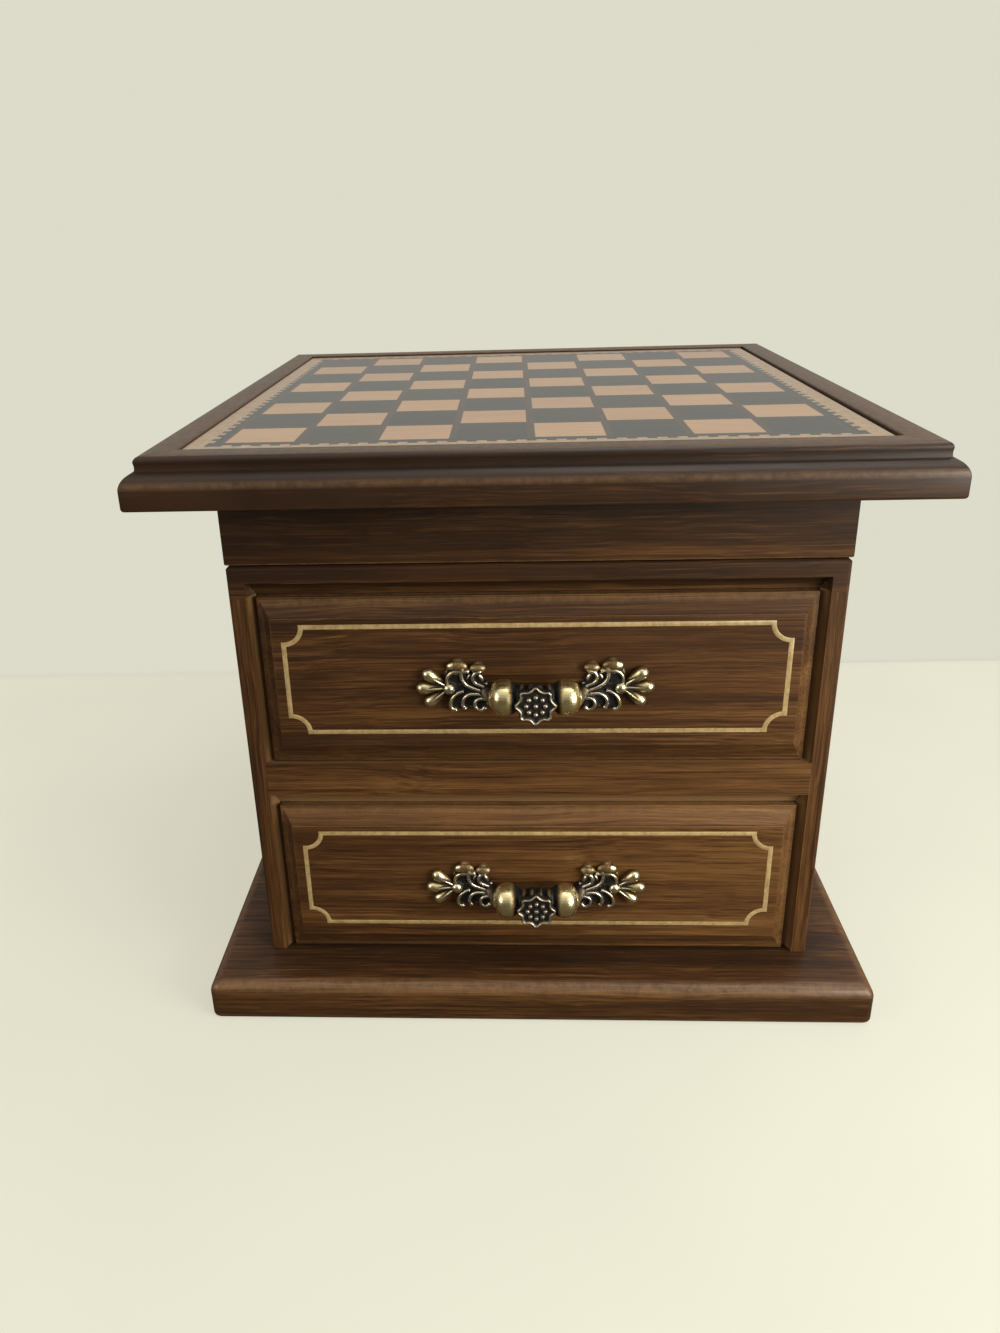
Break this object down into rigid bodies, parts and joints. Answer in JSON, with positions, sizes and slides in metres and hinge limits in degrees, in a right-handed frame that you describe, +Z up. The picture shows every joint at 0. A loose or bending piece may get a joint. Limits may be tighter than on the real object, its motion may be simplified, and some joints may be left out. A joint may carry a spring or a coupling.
{
  "type": "chess box with drawers",
  "caption": "Square wooden box on a broad plinth: drawers with raised, inlaid fronts and leaf pulls, under a hinged, moulded lid whose top is an inset chess board.",
  "frame": {"origin": "middle of the plinth's underside", "axes": "+Z up; the drawers face -Y and +X is at their right, seen from the front"},
  "size_m": [0.2558, 0.2558, 0.2205],
  "materials": {
    "walnut": "satin lacquer",
    "back_board": "satin lacquer",
    "inner_wood": "bare, matt",
    "inlay_wood": "satin lacquer",
    "light_squares": "gloss lacquer",
    "dark_squares": "gloss lacquer",
    "border_wood": "gloss lacquer",
    "aged_brass": "darkened in the hollows, rubbed bright on the ridges",
    "hinge_brass": "satin",
    "screw_steel": "satin",
    "baize": "matt, short nap"
  },
  "bodies": {
    "case": {"plinth": "walnut", "case_side_left": "walnut", "case_side_right": "walnut", "case_top": "walnut", "case_back": "back_board", "middle_rail": "walnut", "runner_left": "inner_wood", "runner_right": "inner_wood", "dust_panel": "inner_wood", "plinth_screws": "screw_steel", "case_hinge_leaves": "hinge_brass", "hinge_pins": "hinge_brass", "case_hinge_screws": "hinge_brass"},
    "lid": {"frame_front": "walnut", "frame_right": "walnut", "frame_back": "walnut", "frame_left": "walnut", "neck_front": "walnut", "neck_right": "walnut", "neck_back": "walnut", "neck_left": "walnut", "board_core": "inner_wood", "dark_field": "dark_squares", "light_squares": "light_squares", "board_border": "border_wood", "lid_hinge_leaves": "hinge_brass", "lid_hinge_screws": "hinge_brass"},
    "upper_drawer": {"upper_drawer_front": "walnut", "upper_drawer_left_side": "inner_wood", "upper_drawer_right_side": "inner_wood", "upper_drawer_back": "inner_wood", "upper_drawer_bottom": "inner_wood", "upper_drawer_lining": "baize", "upper_inlay_line": "inlay_wood", "upper_pull": "aged_brass", "upper_pull_screws": "screw_steel"},
    "lower_drawer": {"lower_drawer_front": "walnut", "lower_drawer_left_side": "inner_wood", "lower_drawer_right_side": "inner_wood", "lower_drawer_back": "inner_wood", "lower_drawer_bottom": "inner_wood", "lower_drawer_lining": "baize", "lower_inlay_line": "inlay_wood", "lower_pull": "aged_brass", "lower_pull_screws": "screw_steel"}
  },
  "joints": [
    {"name": "lid_hinge", "type": "hinge", "parent": "case", "child": "lid", "pos_m": [0, 0.1075, 0.17815], "axis": [-1, 0, 0], "range_deg": [0, 140]},
    {"name": "upper_drawer_slide", "type": "slide", "parent": "case", "child": "upper_drawer", "axis": [0, -1, 0], "range_m": [0, 0.13]},
    {"name": "lower_drawer_slide", "type": "slide", "parent": "case", "child": "lower_drawer", "axis": [0, -1, 0], "range_m": [0, 0.13]}
  ]
}
